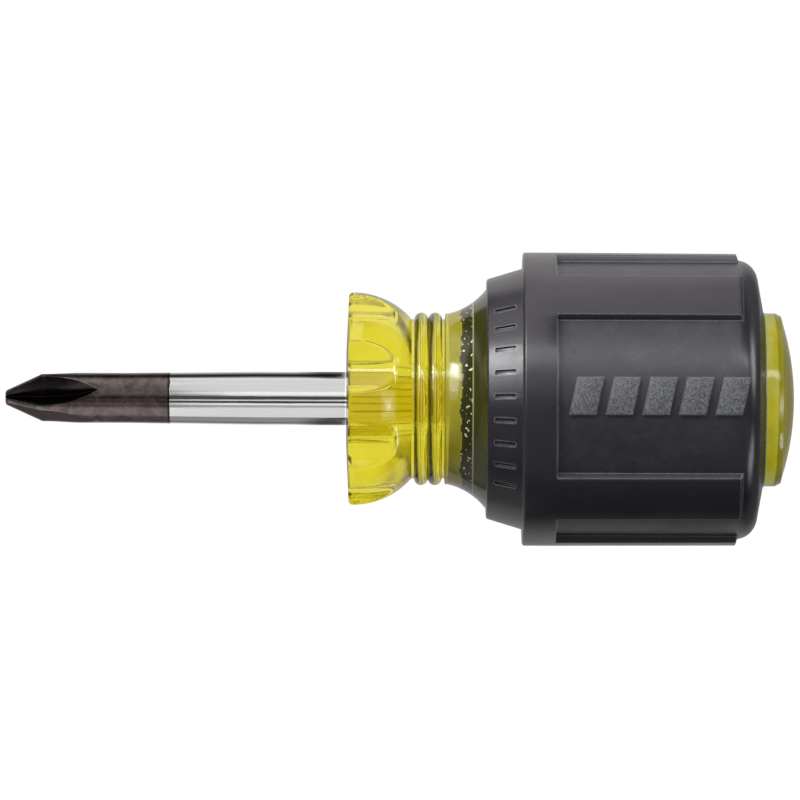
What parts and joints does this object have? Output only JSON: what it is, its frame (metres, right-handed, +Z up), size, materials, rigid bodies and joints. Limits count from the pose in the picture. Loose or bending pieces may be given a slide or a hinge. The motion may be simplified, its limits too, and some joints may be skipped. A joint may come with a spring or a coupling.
{
  "type": "screwdriver",
  "caption": "Stubby cross-recess screwdriver: short chromed blade with a blackened tip, clear yellow handle core with a scalloped bolster, and a ribbed black cushion grip.",
  "frame": {"origin": "on the tool's axis at the flat seat of the bolster, where the shank enters the handle", "axes": "+X along the tool's axis from the tip to the butt, +Z up through the middle of one broad grip panel as the tool lies on its side, +Y across the tool"},
  "size_m": [0.0872, 0.0324, 0.0324],
  "materials": {
    "steel": "polished chrome plate, blackened and matt towards the tip",
    "acetate": "clear yellow moulded acetate, glossy",
    "rubber": "satin black moulded rubber"
  },
  "bodies": {
    "root": {"blade": "steel", "handle_core": "acetate", "cushion_grip": "rubber"}
  },
  "joints": []
}
